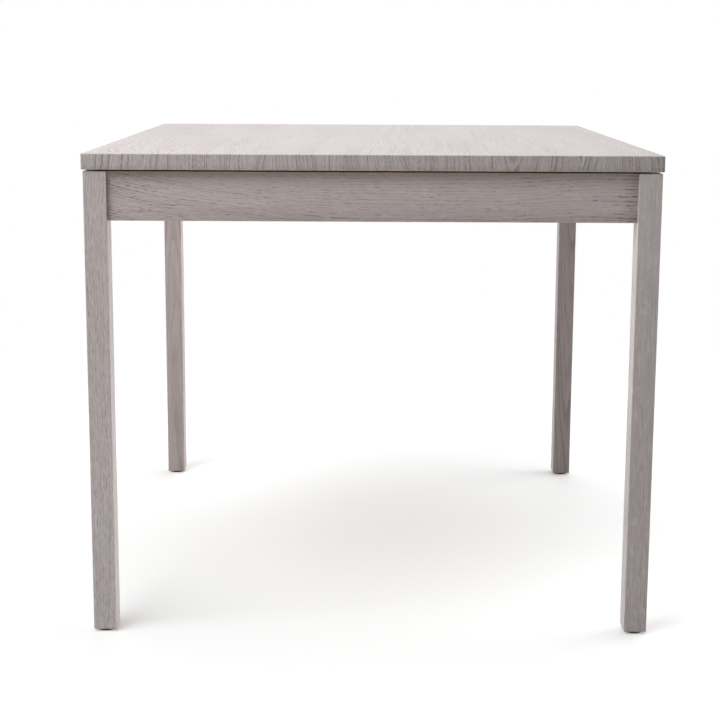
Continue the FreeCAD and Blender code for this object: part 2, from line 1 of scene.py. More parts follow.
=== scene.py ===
# %% [markdown]
# # A square dining table in grey-washed oak
#
# The table is a flat oak top on four square legs, with four aprons between the legs. The frame that
# is loaded here already has every board at its real size and place. This lesson gives each board
# its own piece of oak, models the dowels, screws, bolts, washers and nuts in detail, and lights the
# whole table softly on a pale floor.

# %% Load the frame and measure it
import math

import bmesh
import bpy
from mathutils import Matrix, Vector


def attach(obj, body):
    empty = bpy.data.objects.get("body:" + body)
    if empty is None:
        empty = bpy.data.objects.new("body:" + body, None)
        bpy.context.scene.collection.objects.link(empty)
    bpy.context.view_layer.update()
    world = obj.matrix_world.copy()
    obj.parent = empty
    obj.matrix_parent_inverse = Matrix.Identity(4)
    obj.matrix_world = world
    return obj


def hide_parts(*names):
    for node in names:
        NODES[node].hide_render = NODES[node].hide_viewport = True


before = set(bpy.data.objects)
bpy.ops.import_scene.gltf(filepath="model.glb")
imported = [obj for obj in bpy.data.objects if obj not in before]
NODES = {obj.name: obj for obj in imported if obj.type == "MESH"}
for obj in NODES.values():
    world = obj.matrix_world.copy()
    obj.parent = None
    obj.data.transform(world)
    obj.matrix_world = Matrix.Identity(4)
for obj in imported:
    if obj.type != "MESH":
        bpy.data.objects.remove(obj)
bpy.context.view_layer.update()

print("pieces in the frame:", len(NODES))

# %% [markdown]
# ## Camera
#
# A dining table is usually shown from its end, with the eye a little above the top. A long lens
# from some distance keeps the legs nearly parallel. The view looks slightly down, and a small shift
# of the lens lifts the table in the frame, so that the camera tilts less and the legs stay nearly
# upright.

# %% Set up the camera
LENS_MM = 69.35
SENSOR_MM = 36.0
LENS_SHIFT = -0.13
# where the eye is, in metres, and how the camera is turned there, in radians
EYE = (-0.0118, -2.4968, 0.9011)
LOOK_DOWN = 0.1534
TURN_LEFT = 0.0031
LEAN = 0.0045

camera_data = bpy.data.cameras.new("camera")
camera_data.lens = LENS_MM
camera_data.sensor_width = SENSOR_MM
camera_data.shift_y = LENS_SHIFT
camera = bpy.data.objects.new("camera", camera_data)
bpy.context.scene.collection.objects.link(camera)
camera.matrix_world = (
    Matrix.Translation(EYE)
    @ Matrix.Rotation(TURN_LEFT, 4, "Z")
    @ Matrix.Rotation(math.pi / 2 - LOOK_DOWN, 4, "X")
    @ Matrix.Rotation(LEAN, 4, "Z")
)
bpy.context.scene.camera = camera
bpy.context.scene.view_settings.view_transform = "Standard"
print("camera at", EYE, "with a lens of", LENS_MM, "mm")

# %% [markdown]
# ## Sums on sockets
#
# A procedural material is mostly arithmetic: rings are a distance divided by a width, and a pore is
# where a noise rises above a limit. Wiring each sum by hand is slow to read, so a small class wraps
# a node's output, and ordinary Python expressions on it add the nodes. Every other kind of node is
# added by its one method, `add`.

# %% A socket that can be used in sums
class Wire:
    """An output of a node. A sum on it adds a Math node, and add() adds a node of any kind."""

    def __init__(self, tree, socket=None):
        self.tree = tree
        self.socket = socket

    def add(self, kind, settings=None, sockets=None, output=0):
        """A new node's output. The settings are set first, and then the values or links."""
        node = self.tree.nodes.new(kind)
        for name, value in (settings or {}).items():
            if name == "stops":
                set_stops(node.color_ramp, value)
            else:
                setattr(node, name, value)
        for name, value in (sockets or {}).items():
            if isinstance(value, Wire):
                self.tree.links.new(value.socket, node.inputs[name])
            else:
                node.inputs[name].default_value = value
        return Wire(self.tree, node.outputs[output]) if node.outputs else node

    def sum(self, operation, *values):
        """One Math node on these values, for what has no sign of its own in Python."""
        return self.add("ShaderNodeMath", {"operation": operation}, dict(enumerate(values)))

    def __add__(self, other):
        return self.sum("ADD", self, other)

    def __sub__(self, other):
        return self.sum("SUBTRACT", self, other)

    def __rsub__(self, other):
        return self.sum("SUBTRACT", other, self)

    def __mul__(self, other):
        return self.sum("MULTIPLY", self, other)

    def __truediv__(self, other):
        return self.sum("DIVIDE", self, other)

    def __abs__(self):
        return self.sum("ABSOLUTE", self)

    __radd__ = __add__
    __rmul__ = __mul__

    def least(self, other):
        return self.sum("MINIMUM", self, other)

    def most(self, other):
        return self.sum("MAXIMUM", self, other)

    def rise(self, low, high):
        """0 below the low limit and 1 above the high one, with a smooth change between."""
        return self.add(
            "ShaderNodeMapRange",
            {"interpolation_type": "SMOOTHSTEP"},
            {"Value": self, "From Min": low, "From Max": high},
        )

    def parts(self):
        """The three parts of a place or a colour."""
        node = self.add("ShaderNodeSeparateXYZ", sockets={"Vector": self}).socket.node
        return [Wire(self.tree, socket) for socket in node.outputs]

    def here(self):
        """The place of each point on the piece."""
        return self.add("ShaderNodeTexCoord", output="Object")

    def along(self, direction):
        """How far this place lies along a direction."""
        return self.add(
            "ShaderNodeVectorMath", {"operation": "DOT_PRODUCT"}, {0: self, 1: direction}, output="Value"
        )

    def place(self, x, y, z):
        """A place from its three parts."""
        return self.add("ShaderNodeCombineXYZ", sockets={"X": x, "Y": y, "Z": z})

    def noise(self, detail=0.0, output="Fac"):
        """Noise at this place, mostly from 0.3 to 0.7."""
        return self.add(
            "ShaderNodeTexNoise", sockets={"Vector": self, "Scale": 1.0, "Detail": detail}, output=output
        )

    def blend(self, first, second):
        """This share of the second colour over the first."""
        return self.add(
            "ShaderNodeMix", {"data_type": "RGBA"}, {0: self, 6: first, 7: second}, output=2
        )


def set_stops(ramp, stops):
    """Gives a colour ramp its stops, each a position and a colour."""
    while len(ramp.elements) < len(stops):
        ramp.elements.new(1.0)
    for element, (position, colour) in zip(ramp.elements, stops):
        element.position = position
        element.color = (*colour, 1.0)


def new_material(name):
    """An empty material, and a wire to start its nodes from."""
    material = bpy.data.materials.new(name)
    material.use_nodes = True
    material.node_tree.nodes.clear()
    return material, Wire(material.node_tree)


print("sums and nodes are ready")

# %% [markdown]
# ## Floor and surroundings
#
# The table stands in a white studio. The room itself gives a dim, even light, and to the camera and
# to reflections it is plain white. The floor is pale and catches the table's soft shadow, which is
# faint because part of the floor's white is its own. Away from the table the shading fades out, so
# that the floor runs into the background with no horizon.

# %% Make the white room
ROOM_LIGHT = 0.10
WHITE = (1.0, 1.0, 1.0, 1.0)


def seen_or_reflected(start):
    """1 for what the camera sees, directly or in a reflection, and 0 for the light in the room."""
    seen, glossy, through = (
        start.add("ShaderNodeLightPath", output=name)
        for name in ("Is Camera Ray", "Is Glossy Ray", "Is Transmission Ray")
    )
    return seen.most(glossy).most(through)


world = bpy.data.worlds.new("white_room")
world.use_nodes = True
world.node_tree.nodes.clear()
room = Wire(world.node_tree)
room_light = room.add("ShaderNodeBackground", sockets={"Color": WHITE, "Strength": ROOM_LIGHT})
room_white = room.add("ShaderNodeBackground", sockets={"Color": WHITE, "Strength": 1.0})
room_mix = room.add(
    "ShaderNodeMixShader", sockets={0: seen_or_reflected(room), 1: room_light, 2: room_white}
)
room.add("ShaderNodeOutputWorld", sockets={"Surface": room_mix})
bpy.context.scene.world = world
print("room light:", ROOM_LIGHT)

# %% Lay the floor
FLOOR_COLOUR = (0.72, 0.72, 0.72, 1.0)
FLOOR_SEEN = (0.962, 0.973, 0.975, 1.0)
FLOOR_REACH = 12.0
OWN_WHITE = 0.28
SHADING_FULL = 0.9
SHADING_GONE = 2.0

bpy.ops.object.select_all(action="DESELECT")
bpy.ops.mesh.primitive_plane_add(size=2 * FLOOR_REACH)
floor = bpy.context.object
floor.name = "floor"
floor_material, laid = new_material("studio_floor")
distance = laid.add("ShaderNodeVectorMath", {"operation": "LENGTH"}, {0: laid.here()}, output="Value")
own_white = OWN_WHITE + (1 - OWN_WHITE) * distance.rise(SHADING_FULL, SHADING_GONE)
floor_tone = seen_or_reflected(laid).blend(FLOOR_COLOUR, FLOOR_SEEN)
floor_shader = laid.add(
    "ShaderNodeMixShader",
    sockets={
        0: seen_or_reflected(laid) * own_white,
        1: laid.add("ShaderNodeBsdfDiffuse", sockets={"Color": floor_tone}),
        2: laid.add("ShaderNodeEmission", sockets={"Color": WHITE, "Strength": 1.0}),
    },
)
laid.add("ShaderNodeOutputMaterial", sockets={"Surface": floor_shader})
floor.data.materials.append(floor_material)
print("floor laid")

# %% [markdown]
# ## Light
#
# One large soft lamp hangs over the table, to the right and behind. It makes the top the brightest
# face and draws the soft shadow on the floor. A smaller lamp high up on the left lifts the front
# faces, and because it is close, the left legs get more of it than the right ones. Wide low lamps
# on both sides reach under the top and light the inner sides of the legs, and one far behind the
# table lights the faces that are turned that way.

# %% Hang the lamps
LAMPS = (
    # name, place, where it points, width and height in metres, watts
    ("lamp_over_table", (0.9, 0.85, 2.8), (0.0, 0.0, 0.7), (3.0, 2.8), 72.5),
    ("lamp_front_left", (-1.3, -1.3, 2.4), (-0.3, -0.4, 0.4), (1.8, 1.4), 61.0),
    ("lamp_right", (3.0, 0.8, 0.5), (0.0, 0.2, 0.4), (2.2, 0.8), 72.0),
    ("lamp_left", (-3.0, 0.8, 0.5), (0.0, 0.2, 0.4), (2.2, 0.8), 34.0),
    ("lamp_behind", (0.0, 3.4, 1.5), (0.0, 0.0, 0.5), (2.8, 1.8), 30.0),
)
for name, place, target, (width, height), watts in LAMPS:
    lamp_data = bpy.data.lights.new(name, "AREA")
    lamp_data.shape = "RECTANGLE"
    lamp_data.size = width
    lamp_data.size_y = height
    lamp_data.energy = watts
    lamp = bpy.data.objects.new(name, lamp_data)
    lamp.location = place
    lamp.rotation_euler = (Vector(target) - Vector(place)).to_track_quat("-Z", "Y").to_euler()
    lamp.visible_camera = False
    lamp.visible_glossy = False
    bpy.context.scene.collection.objects.link(lamp)
    print(name, watts, "W")

# %% [markdown]
# ## Solid oak
#
# Painting a grain picture on each face never agrees at the corners. Here the grain is a solid
# pattern: the board is thought of as cut out of a tree, and each point's distance from the tree's
# heart gives its growth ring. Ends then show arcs, flat-cut faces show arches, and long edges show
# straight lines, all from one rule.
#
# Along the grain everything is stretched. Oak has a band of open pores at the start of each ring,
# and rays that run from the heart outwards. A grey wash settles in the pores and stays off the
# rays, so pores are darker and rays are paler.

# %% How a board lies in its tree
RIGHT = Vector((1, 0, 0))
BACK = Vector((0, 1, 0))
UP = Vector((0, 0, 1))
AXES = (RIGHT, BACK, UP)
SEED_STEP = 3.7
DRIFT = 0.060
# a pace is how often a noise changes in a metre, here along the grain and across it
DRIFT_PACES = (1.6, 5.0)
WAVER_ACROSS = 55.0
PATCH_PACES = (2.6, 7.0)
PATCH_LIMITS = (0.44, 0.56)
WAVE_PACES = (8.0, 12.0)
GROWTH_PACE = 26.0


def extent(points, direction):
    """The lowest and highest place of some points along a direction."""
    places = [direction.dot(point) for point in points]
    return min(places), max(places)


def span(node, direction):
    """The lowest and highest place of a piece of the frame along a direction."""
    return extent([vertex.co for vertex in NODES[node].data.vertices], direction)


def drawn_out(start, spot, pace_along, pace_across):
    """A place for noise that changes more slowly along the grain than across it."""
    far, across, through = spot
    return start.place(far * pace_along, across * pace_across, through * pace_across)


def rings_of(start, spans, directions, heart, slant, seed, look):
    """The growth rings at each point of a board.

    directions are the board's own: along the grain, across it and through it. heart is how far the
    tree's heart lies from the board's middle, across and through. slant is how much a ring moves
    for each metre along the grain, which draws the arches on a flat-cut face, then how much that
    grows along the board, and how much the growth grows. The seed moves the board along its tree.
    """
    place = start.here()
    along, across, through = (
        place.along(direction) - (low + high) / 2
        for direction, (low, high) in zip(directions, spans)
    )
    spot = (along + SEED_STEP * seed, across, through)
    drift = drawn_out(start, spot, *DRIFT_PACES).noise(2.0, "Color").parts()
    heart_across = across - heart[0] + (drift[0] - 0.5) * DRIFT
    heart_through = through - heart[1] + (drift[1] - 0.5) * DRIFT
    waver = drawn_out(start, spot, look["waver_pace"], WAVER_ACROSS).noise(1.0) - 0.5
    squashed = look["oval"] * heart_through
    from_heart = start.sum("SQRT", heart_across * heart_across + squashed * squashed)
    lean, bow, hook = slant
    radius = from_heart + ((hook * along + bow) * along + lean) * along + look["waver"] * waver
    patches = 0.0
    if look["wave"]:
        patches = drawn_out(start, spot, *PATCH_PACES).noise(1.0).rise(*PATCH_LIMITS)
        waves = drawn_out(start, spot, *WAVE_PACES).noise(1.0) - 0.5
        radius = radius + look["wave"] * patches * waves
    growth = start.place(radius * GROWTH_PACE, seed, 0.5).noise(1.0)
    count = radius / look["ring_width"] + look["uneven"] * growth
    return {
        "spot": spot, "along": along, "across": across, "through": through,
        "radius": radius, "angle": start.sum("ARCTAN2", heart_across, heart_through),
        "year": start.sum("FLOOR", count), "season": start.sum("FRACT", count),
        "patches": patches,
    }


print("a board's place in its tree is ready")

# %% Pores, rays, fibres and worn edges
SPRING_COMES = (0.0, 0.12)
SPRING_GOES = (0.16, 0.65)
LATE_PORES = 0.25
VESSEL_ACROSS = 760.0
VESSEL_LIMITS = (0.56, 0.70)
FLECK_ACROSS = 520.0
FLECK_SHARE_ALONG = 0.7
FLECK_LIMITS = (0.58, 0.70)
CLUSTER_PACES = (9.0, 38.0)
CLUSTER_LIMITS = (0.46, 0.60)
RAY_PACES = (22.0, 48.0)
RAY_LIMITS = (0.58, 0.70)
FIBRE_ACROSS = 420.0
STREAK_THROUGH = 70.0
CLOUD_PACES = (2.2, 9.0)
WEAR_REACH = (0.0004, 0.0026)
RAGGED_PACES = (60.0, 60.0)
RAGGED_LIMITS = (0.35, 0.60)


def grain_marks(start, ring, look):
    """What lies in the rings. Most run from 0 to 1, and fibres, streaks and clouds lie about 0."""
    spot, season = ring["spot"], ring["season"]
    far, across, through = spot
    spring = season.rise(*SPRING_COMES) * (1 - season.rise(*SPRING_GOES))
    vessels = drawn_out(start, spot, look["pore_pace"], VESSEL_ACROSS).noise()
    flecks = drawn_out(start, spot, look["pore_pace"] * FLECK_SHARE_ALONG, FLECK_ACROSS).noise(1.0)
    clusters = drawn_out(start, spot, *CLUSTER_PACES).noise(2.0).rise(*CLUSTER_LIMITS)
    pores = (vessels.rise(*VESSEL_LIMITS) * look["vessels"]).most(flecks.rise(*FLECK_LIMITS) * clusters)
    outwards, lengthwise = RAY_PACES
    rays = start.place(ring["angle"] * look["ray_count"], ring["radius"] * outwards, far * lengthwise)
    return {
        "spring": spring,
        "pores": pores * (LATE_PORES + (1 - LATE_PORES) * spring),
        "rays": rays.noise(1.0).rise(*RAY_LIMITS),
        "strands": drawn_out(start, spot, look["strand_pace"], FIBRE_ACROSS).noise(2.0) - 0.5,
        "streaks": start.place(far, across * FIBRE_ACROSS, through * STREAK_THROUGH).noise(1.0) - 0.5,
        "clouds": drawn_out(start, spot, *CLOUD_PACES).noise(3.0) - 0.5,
    }


def worn_edges(start, ring, box):
    """1 on the edges of a box and 0 two or three millimetres from them."""
    place = start.here()
    # how far the faces are, one pair of them for each direction
    first, second, third = (
        (high - low) / 2 - abs(place.along(direction) - (low + high) / 2)
        for direction, (low, high) in zip(AXES, box)
    )
    # an edge is near where two of the three are small, so the middle one of them counts
    nearest_edge = first.least(second).most(first.most(second).least(third))
    ragged = drawn_out(start, ring["spot"], *RAGGED_PACES).noise(2.0)
    return (1 - nearest_edge.rise(*WEAR_REACH)) * ragged.rise(*RAGGED_LIMITS)


print("marks in the grain are ready")

# %% How dark the wash and the painted shade are
# how far from an end the grain is coarse, and how far from a joint the painted shade in the corner
# reaches
END_REACH = 0.16
TIP_SHARE = 0.6
SHADED_CORNER_REACH = 0.040
PLAIN_MIDDLE = 0.1
MEAN_PATCHES = 0.6
MEAN_SPRING = 0.3
YEAR_CONTRAST = (0.55, 0.90)
FINE_PORES = 0.6


def wash_and_shade_depth(start, ring, mark, halves, end, side, look):
    """How dark the wash and the painted shade are at each point, from 0 for the palest colour to 1 for
    the darkest.

    halves are half the board's length, width and thickness. end and side are 1 on the faces at its
    ends and on those at its sides, and 0 elsewhere.
    """
    half_length, half_width, half_thickness = halves
    along = ring["along"]
    near_root = (0 - along).rise(half_length - END_REACH, half_length)
    near_tip = along.rise(half_length - END_REACH / 2, half_length)
    coarse = 1 + look["coarse_end"] * (near_root + TIP_SHARE * near_tip)
    # 1 in the corner by the joint at the far end, where painted shade stands for the shade beside the
    # leg
    corner = along.rise(half_length - SHADED_CORNER_REACH, half_length)
    year_tone = start.add(
        "ShaderNodeTexWhiteNoise", {"noise_dimensions": "1D"}, {"W": ring["year"] + 0.5}
    )
    faint, bold = YEAR_CONTRAST
    ring_contrast = 1 + look["end_contrast"] * end - look["calm_side"] * side
    if look["wave"]:
        ring_contrast += look["figure"] * (ring["patches"] - MEAN_PATCHES) * (1 - end.most(side))
    return (
        look["depth"]
        + look["end_depth"] * end
        # painted light and shade along the board, lighter or darker towards its root as the light falls
        # on it
        + look["root_depth"] / half_length * (0 - along)
        + look["edge_depth"] * abs(ring["across"]).rise(half_width * PLAIN_MIDDLE, half_width)
        + look["under_depth"] * (0 - ring["through"]).rise(0.0, half_thickness)
        + look["ring_depth"] * ring_contrast
        * (mark["spring"] - MEAN_SPRING + year_tone - 0.5) * (faint + bold * year_tone) * coarse
        + look["pore_depth"] * mark["pores"] * (FINE_PORES + (1 - FINE_PORES) * coarse)
        - look["ray_depth"] * mark["rays"]
        + look["strand_depth"] * mark["strands"] * (coarse + look["end_contrast"] * end)
        + look["streak_depth"] * mark["streaks"] * end
        + look["cloud_depth"] * mark["clouds"]
        # painted shade in that corner
        + look["gather"] * corner * corner
    )


print("the wash is ready")

# %% The finished wood
BARE_OAK = (0.42, 0.30, 0.22, 1.0)
THIN_COAT = 0.8
# how much of the bare oak's colour is painted into a band along the top of an apron, as warm painted
# shade under the tabletop
PAINTED_SHADE_SHARE = 0.35
FACING = (0.6, 0.9)
PORE_ROUGHNESS = 0.14
CLOUD_ROUGHNESS = 0.08


def toned(colour, tone, warmth):
    """A colour made lighter or darker, and warmer."""
    red, green, blue = colour
    return red * tone * (1 + warmth), green * tone, blue * tone


def shade(start, sockets, height):
    """Ends a material with its shader. The height of its bumps is in metres."""
    bump = start.add("ShaderNodeBump", sockets={"Distance": 1.0, "Strength": 1.0, "Height": height})
    shader = start.add("ShaderNodeBsdfPrincipled", sockets={**sockets, "Normal": bump})
    start.add("ShaderNodeOutputMaterial", sockets={"Surface": shader})


def wood(node, directions, heart, slant, seed, look, tone=1.0, box=None, thin_side=None):
    """The wood of a piece of the frame, cut from its own place in a tree.

    box is what the edges are worn on, along X, Y and Z, where that isn't the piece alone. thin_side
    is the way that a hidden side faces, which gets one thin coat of the wash.
    """
    material, start = new_material(f"{look['name']}_{node}_{seed}")
    spans = [span(node, direction) for direction in directions]
    halves = [(high - low) / 2 for low, high in spans]
    ring = rings_of(start, spans, directions, heart, slant, seed, look)
    mark = grain_marks(start, ring, look)
    normal = start.add("ShaderNodeNewGeometry", output="Normal")
    end, side = (abs(normal.along(way)).rise(*FACING) for way in directions[:2])
    depth = wash_and_shade_depth(start, ring, mark, halves, end, side, look)
    # the tone also carries painted light and shade on the staves and the legs
    stops = [(position, toned(colour, tone, look["warmth"])) for position, colour in look["colours"]]
    colour = start.add("ShaderNodeValToRGB", {"stops": stops}, {"Fac": depth}, output="Color")
    if thin_side:
        thin_coat_and_shade = normal.along(thin_side).rise(*FACING) * THIN_COAT
        # a band along the top of the board also gets the bare oak's colour, as warm painted shade under
        # the tabletop
        if look["thin_band"]:
            below_top = halves[1] - ring["across"]
            thin_coat_and_shade = thin_coat_and_shade.most((1 - below_top.rise(0.0, look["thin_band"])) * PAINTED_SHADE_SHARE)
        colour = thin_coat_and_shade.blend(colour, BARE_OAK)
    worn = worn_edges(start, ring, box or [span(node, way) for way in AXES]) * look["wear"]
    colour = worn.blend(colour, (*look["worn_colour"], 1.0))
    height = (
        look["strand_height"] * mark["strands"]
        - look["pore_height"] * mark["pores"]
        - look["ring_height"] * mark["spring"]
    )
    roughness = look["roughness"] + PORE_ROUGHNESS * mark["pores"] + CLOUD_ROUGHNESS * mark["clouds"]
    shade(start, {"Base Color": colour, "Roughness": roughness, "IOR": look["ior"]}, height)
    return material


def finish_with(piece, material):
    """Gives a piece its material."""
    piece.data.materials.clear()
    piece.data.materials.append(material)


def finish_wood(node, *cut, **other):
    """Gives a piece of the frame its own wood."""
    finish_with(NODES[node], wood(node, *cut, **other))


print("wood is ready")

# %% [markdown]
# ## Grey-washed oak
#
# The wash is a thin milky grey stain under a matt varnish. The colour runs from nearly white on the
# hard rays, over a warm grey on the plain wood, to a dark grey brown in the pores. All the boards
# share these values. What differs is how each was cut from its tree.

# %% Values of the grey-washed oak
GREY_OAK = dict(
    name="grey_oak",
    # how the rings and rays lie, with widths and wanderings in metres
    oval=0.4, ring_width=0.0042, uneven=8.0, waver=0.0022, waver_pace=9.0, wave=0.0, ray_count=75.0,
    # how much darker it is: the wash all over and on the ends, painted shade to the root, darker to the
    # edges and below, and painted shade in the corner by a joint
    depth=0.38, end_depth=0.05, root_depth=0.0, edge_depth=0.0, under_depth=0.0, gather=0.0,
    # how much each mark of the grain shows in it, and how often it changes along the grain
    ring_depth=0.10, end_contrast=0.9, calm_side=0.0, coarse_end=0.0, figure=0.0,
    pore_depth=0.34, pore_pace=110.0, vessels=0.7, ray_depth=0.10,
    strand_depth=0.24, strand_pace=9.0, streak_depth=0.30, cloud_depth=0.20,
    # from the palest wash to the darkest
    colours=(
        (0.00, (0.610, 0.562, 0.548)),
        (0.35, (0.440, 0.392, 0.382)),
        (0.65, (0.305, 0.263, 0.254)),
        (1.00, (0.125, 0.098, 0.092)),
    ),
    # how warm, how far down from the top a band of warm painted shade reaches, the worn edges, and the
    # varnish
    warmth=0.0, thin_band=0.0, worn_colour=(0.52, 0.44, 0.40), wear=0.45, roughness=0.36, ior=1.5,
    # how high the fibres stand, and how deep the pores and the soft wood lie, in metres
    strand_height=0.00006, pore_height=0.00012, ring_height=0.00003,
)
print("grey-washed oak:", GREY_OAK["ring_width"] * 1000, "mm between rings")

# %% [markdown]
# ## The top
#
# A solid top is glued up from staves that run the same way, here from front to back. The staves are
# picked so that their tones agree and the joints can hardly be found. Most are cut near the heart
# or flat, which gives arches in the middle of the stave. A few are cut on the slant and show
# straight lines. The rings on the front edge turn from stave to stave. Their tones also step down
# from left to right, which is painted shade for the light that comes from the left.
#
# Fine oak also has patches of wavy figure, where the fibres grew to and fro. There the rings are
# pushed in and out along the grain. The top is also darker towards the bottom of its edges.

# %% Finish the staves
TOP_OAK = dict(
    GREY_OAK, depth=0.465, end_depth=-0.05, under_depth=0.13, oval=0.15, waver=0.0040, waver_pace=17.0,
    wave=0.034, figure=1.5, ring_depth=0.082, end_contrast=1.2, calm_side=0.85, pore_depth=0.28,
    strand_depth=0.20, warmth=-0.01,
)
STAVES = (
    # heart across and through in metres, lean, tone, which also paints shade darker to the right
    ((0.025, 0.130), 0.020, 1.02),
    ((-0.120, 0.150), 0.012, 1.01),
    ((-0.070, 0.160), -0.024, 1.01),
    ((0.085, 0.120), 0.014, 1.00),
    ((0.120, 0.160), 0.012, 0.98),
    ((-0.035, 0.120), 0.024, 0.945),
    ((-0.090, 0.160), -0.014, 0.92),
)
staves = {f"top_stave_{number}": stave for number, stave in enumerate(STAVES, start=1)}
whole_top = [
    (min(span(node, way)[0] for node in staves), max(span(node, way)[1] for node in staves))
    for way in AXES
]
for number, (node, (heart, lean, tone)) in enumerate(staves.items(), start=1):
    finish_wood(
        node, (BACK, RIGHT, UP), heart, (lean, 0.0, 0.0), number, TOP_OAK,
        tone=tone, box=whole_top, thin_side=-UP,
    )
    low, high = span(node, RIGHT)
    print(node, "is", round((high - low) * 1000, 1), "mm wide")

# %% [markdown]
# ## Legs and aprons
#
# The legs are square, straight-grained pieces, because a leg with slanting grain would break. The
# front ones are plain, one of them mottled, and the rear ones have a bolder figure. Painted shade
# darkens the front right leg towards its foot, and painted light makes the front left one paler
# there. Their tones paint light and shade too: the front left leg is lighter, in the light from the
# left, and the rear ones are darker, in the shade under the table.
#
# The aprons are narrow boards with the grain lengthwise. They are darker towards their long edges.
# At one end, in the corner by the joint, painted shade darkens them. A band along the top is
# painted in the warm bare oak's colour, as the warm shade under the tabletop.

# %% Finish the legs
# the legs are painted darker or paler towards the foot, as shade and light from how the light falls
# along them
LEG_OAK = dict(
    GREY_OAK, pore_depth=0.20, ring_depth=0.06, strand_depth=0.40, strand_pace=40.0, root_depth=0.10,
)
MOTTLED_OAK = dict(LEG_OAK, pore_depth=0.29, strand_depth=0.55, strand_pace=90.0, root_depth=-0.045)
FIGURED_OAK = dict(
    LEG_OAK, ring_width=0.0033, ring_depth=0.14, strand_depth=0.34, strand_pace=16.0, root_depth=0.0,
    warmth=0.04,
)
LEGS = {
    # heart across and through in metres, lean, tone with painted light and shade, kind of oak
    "leg_front_left": ((0.090, 0.140), 0.008, 1.12, MOTTLED_OAK),
    "leg_front_right": ((0.170, 0.060), -0.006, 1.01, LEG_OAK),
    "leg_rear_right": ((0.012, 0.050), -0.030, 0.81, FIGURED_OAK),
    "leg_rear_left": ((0.006, 0.052), 0.024, 0.86, FIGURED_OAK),
}
for number, (node, (heart, lean, tone, look)) in enumerate(LEGS.items(), start=11):
    finish_wood(node, (UP, RIGHT, BACK), heart, (lean, 0.0, 0.0), number, look, tone=tone, thin_side=UP)
print("legs finished:", len(LEGS))

# %% Finish the aprons
# the aprons get painted shade in the corner by one joint, and a warm painted shade along the top
APRON_OAK = dict(
    GREY_OAK, depth=0.29, edge_depth=0.18, gather=0.26, ring_depth=0.06, strand_depth=0.22,
    strand_pace=13.0, vessels=0.5, pore_depth=0.50, warmth=0.03, thin_band=0.018, wear=0.7,
)
JOINT_DEPTH = 0.020
APRONS = {
    # the way its length runs and its thickness lies, heart, slant, tone, how coarse its ends are
    "apron_front": (RIGHT, BACK, (0.110, 0.070), (-0.020, 0.188, -0.274), 0.96, 2.0),
    "apron_right": (BACK, RIGHT, (-0.060, -0.080), (0.018, 0.020, 0.0), 1.00, 0.3),
    "apron_rear": (RIGHT, BACK, (0.020, -0.100), (-0.020, 0.030, 0.0), 1.00, 0.6),
    "apron_left": (BACK, RIGHT, (0.080, 0.070), (-0.016, 0.040, 0.0), 0.99, 0.2),
}
for number, (node, cut) in enumerate(APRONS.items(), start=21):
    length, thickness, heart, slant, tone, coarse_end = cut
    # the long edges are worn, and the ends, which the joints hide, aren't
    box = []
    for way in AXES:
        low, high = span(node, way)
        hidden = JOINT_DEPTH if way == length else 0.0
        box.append((low - hidden, high + hidden))
    finish_wood(
        node, (length, UP, thickness), heart, slant, number,
        dict(APRON_OAK, coarse_end=coarse_end), tone=tone, box=box, thin_side=UP,
    )
print("aprons finished:", len(APRONS))

# %% [markdown]
# ## Beech inside the frame
#
# Corner blocks, fixing strips and dowels are never seen from above, so a maker leaves them as plain
# unfinished beech. It is pinkish tan, its rings are faint, and its rays show as short dark flecks.
# The same rule draws it, with other values.

# %% Finish the beech pieces
BEECH = dict(
    GREY_OAK, name="beech", ring_width=0.0028, ray_count=120.0, ring_depth=0.08, pore_depth=0.08,
    ray_depth=-0.22, strand_depth=0.16, cloud_depth=0.25,
    colours=(
        (0.00, (0.700, 0.540, 0.400)),
        (0.35, (0.600, 0.430, 0.300)),
        (0.65, (0.470, 0.310, 0.200)),
        (1.00, (0.260, 0.155, 0.095)),
    ),
    worn_colour=(0.62, 0.47, 0.35), roughness=0.58, pore_height=0.00003,
)
TO_BACK_RIGHT = (RIGHT + BACK).normalized()
TO_BACK_LEFT = (BACK - RIGHT).normalized()
BEECH_SLANT = (0.010, 0.0, 0.0)
DOWEL_HEART = (0.300, 0.600)
BEECH_PIECES = {
    # the way its length runs, heart
    "corner_block_front_left": (TO_BACK_LEFT, (0.020, 0.060)),
    "corner_block_front_right": (TO_BACK_RIGHT, (-0.030, 0.050)),
    "corner_block_rear_right": (TO_BACK_LEFT, (0.050, -0.040)),
    "corner_block_rear_left": (TO_BACK_RIGHT, (-0.010, -0.070)),
    "fixing_strip_front": (RIGHT, (0.030, 0.050)),
    "fixing_strip_right": (BACK, (0.040, 0.040)),
    "fixing_strip_rear": (RIGHT, (-0.050, 0.030)),
    "fixing_strip_left": (BACK, (0.020, -0.060)),
    "apron_dowels": (RIGHT, DOWEL_HEART),
}
for number, (node, (length, heart)) in enumerate(BEECH_PIECES.items(), start=31):
    finish_wood(node, (length, UP, length.cross(UP)), heart, BEECH_SLANT, number, BEECH)
print("beech pieces finished:", len(BEECH_PIECES))

# %% [markdown]
# ## Steel and plastic
#
# The screws, bolts, nuts and washers are zinc plated steel. The plating is bright but not polished,
# with faint clouds of a warmer grey and fine rubbing marks. The feet are a dark matt plastic with
# the fine grain of the mould.

# %% Mix the zinc and the plastic
ZINC_COLOURS = ((0.62, 0.63, 0.64, 1.0), (0.54, 0.52, 0.47, 1.0))
ZINC_CLOUD_PACES = (160.0, 160.0, 160.0)
ZINC_CLOUD_LIMITS = (0.38, 0.64)
RUB_PACES = (2400.0, 2400.0, 500.0)
RUB_HEIGHT = 0.000004
